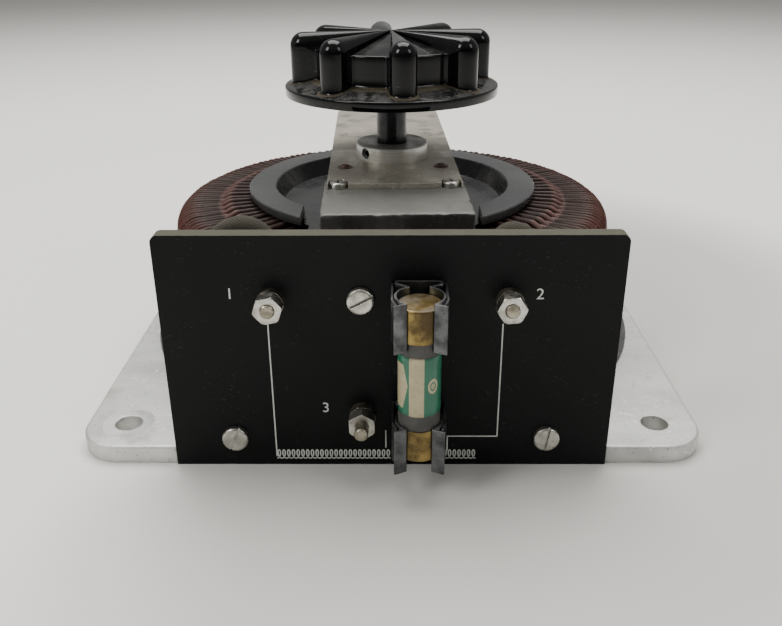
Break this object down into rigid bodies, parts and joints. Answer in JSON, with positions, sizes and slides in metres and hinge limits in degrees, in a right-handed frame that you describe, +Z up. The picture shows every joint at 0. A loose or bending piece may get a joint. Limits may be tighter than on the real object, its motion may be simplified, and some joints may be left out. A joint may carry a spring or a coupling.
{
  "type": "variable autotransformer",
  "caption": "Toroidal variable autotransformer on a square base, with a rotary brush arm, lobed knob, and a front terminal board with screw terminals and a cartridge fuse.",
  "frame": {"origin": "on the rotor's axis at the underside of the base plate, the centre of its four mounting holes", "axes": "+Z up along the shaft; +Y away from the terminal board, which faces -Y; +X to the right seen from the terminal board"},
  "size_m": [0.3174, 0.3485, 0.191],
  "materials": {
    "cast_aluminium": "cast, pitted and scratched",
    "rolled_aluminium": "satin, rolled grain",
    "turned_aluminium": "turned and brushed",
    "insulating_board": "dark grey fibre board",
    "core_tape": "varnished tape",
    "core_steel": "strip-wound electrical steel",
    "enamelled_wire": "red-brown enamel",
    "moulded_black": "glossy phenolic moulding",
    "knob_black": "glossy phenolic moulding, dusty",
    "board_laminate": "black face, tan cut edges",
    "bright_steel": "nickel plated, tarnished",
    "dark_steel": "blued spring steel",
    "bracket_steel": "zinc plated sheet",
    "bearing_bronze": "sintered bronze",
    "terminal_brass": "tarnished plated brass",
    "fuse_brass": "tarnished brass",
    "bar_copper": "bare copper bar",
    "cotton_sleeve": "woven khaki sleeving",
    "lead_alloy": "dull grey casting, nicked edges",
    "red_lacquer": "red lacquer",
    "blackened_steel": "blackened and oiled",
    "carbon": "pressed carbon",
    "spring_steel": "drawn wire",
    "fuse_fibre": "green printed wrap on dark fibre tube"
  },
  "bodies": {
    "frame": {"base_plate": "cast_aluminium", "bearing_post": "cast_aluminium", "base_insulator": "insulating_board", "lower_bush": "bearing_bronze", "upper_bush": "bearing_bronze", "thrust_washer": "bearing_bronze", "post_screws": "dark_steel", "core": "core_steel", "core_wrap": "core_tape", "winding": "enamelled_wire", "winding_inner_turns": "enamelled_wire", "clamp_washer": "insulating_board", "core_cap": "moulded_black", "tie_studs": "bright_steel", "tie_washers": "bright_steel", "tie_nuts": "bright_steel", "stop_posts": "dark_steel", "terminal_board": "board_laminate", "board_brackets": "bracket_steel", "board_support": "bracket_steel", "board_screws": "bright_steel", "bracket_screws": "bright_steel", "terminal_studs": "terminal_brass", "terminal_collars": "terminal_brass", "terminal_washers": "dark_steel", "terminal_nuts": "bright_steel", "jam_nuts": "terminal_brass", "tail_nuts": "terminal_brass", "terminal_lugs": "bar_copper", "lead_left": "cotton_sleeve", "lead_right": "cotton_sleeve", "wiper_strap": "bar_copper", "collector_finger": "bearing_bronze", "collector_spacer": "insulating_board", "collector_screw": "bright_steel", "fuse_clips": "dark_steel", "clip_stiffeners": "dark_steel", "clip_screws": "bright_steel", "clip_nuts": "bright_steel"},
    "rotor": {"shaft": "blackened_steel", "retaining_ring": "dark_steel", "shaft_washer": "bright_steel", "arm_hub": "turned_aluminium", "slip_ring": "terminal_brass", "arm_plate": "rolled_aluminium", "arm_rivets": "red_lacquer", "hub_grub_screw": "dark_steel", "counterweight": "lead_alloy", "weight_screws": "bright_steel", "stop_pin": "dark_steel", "brush_holder": "cast_aluminium", "holder_screws": "bright_steel", "brush_spring": "spring_steel", "knob": "knob_black", "knob_grub_screw": "dark_steel"},
    "brush_carriage": {"brush": "carbon"},
    "fuse": {"fuse_tube": "fuse_fibre", "fuse_caps": "fuse_brass"}
  },
  "joints": [
    {"name": "rotor_turn", "type": "hinge", "parent": "frame", "child": "rotor", "pos_m": [0, 0, 0], "axis": [0, 0, 1], "range_deg": [-136.9, 133.1]},
    {"name": "brush_lift", "type": "slide", "parent": "rotor", "child": "brush_carriage", "axis": [0, 0, 1], "range_m": [0, 0.003], "stiffness_N_per_m": 1500, "springref_m": -0.006, "deforming": ["brush_spring"]},
    {"name": "fuse_slide", "type": "slide", "parent": "frame", "child": "fuse", "axis": [0, 0, 1], "range_m": [0, 0.082]}
  ]
}
